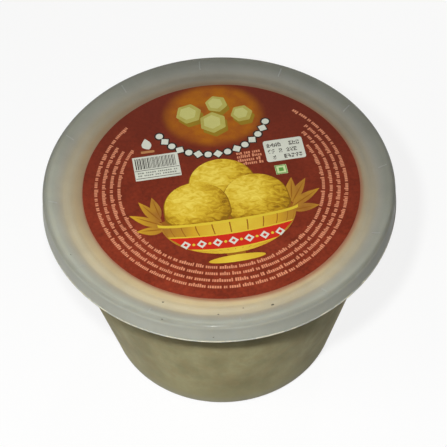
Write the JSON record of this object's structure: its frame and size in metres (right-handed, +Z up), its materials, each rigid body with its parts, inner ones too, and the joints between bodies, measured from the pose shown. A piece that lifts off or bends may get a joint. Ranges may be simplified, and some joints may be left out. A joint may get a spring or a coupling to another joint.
{
  "type": "ice cream tub",
  "caption": "Round shut plastic ice cream tub with tapered wall, overhanging press-on lid and a round label on top.",
  "frame": {"origin": "centre of the tub's base, on the surface it stands on", "axes": "+Z up along the tub's axis; -Y is the near side of the label, +X its right side"},
  "size_m": [0.1534, 0.1534, 0.0966],
  "materials": {
    "tub_plastic": "milky translucent, satin",
    "lid_plastic": "milky translucent, satin",
    "label_film": "printed film, satin"
  },
  "bodies": {
    "root": {"tub": "tub_plastic", "lid": "lid_plastic", "label": "label_film"}
  },
  "joints": []
}
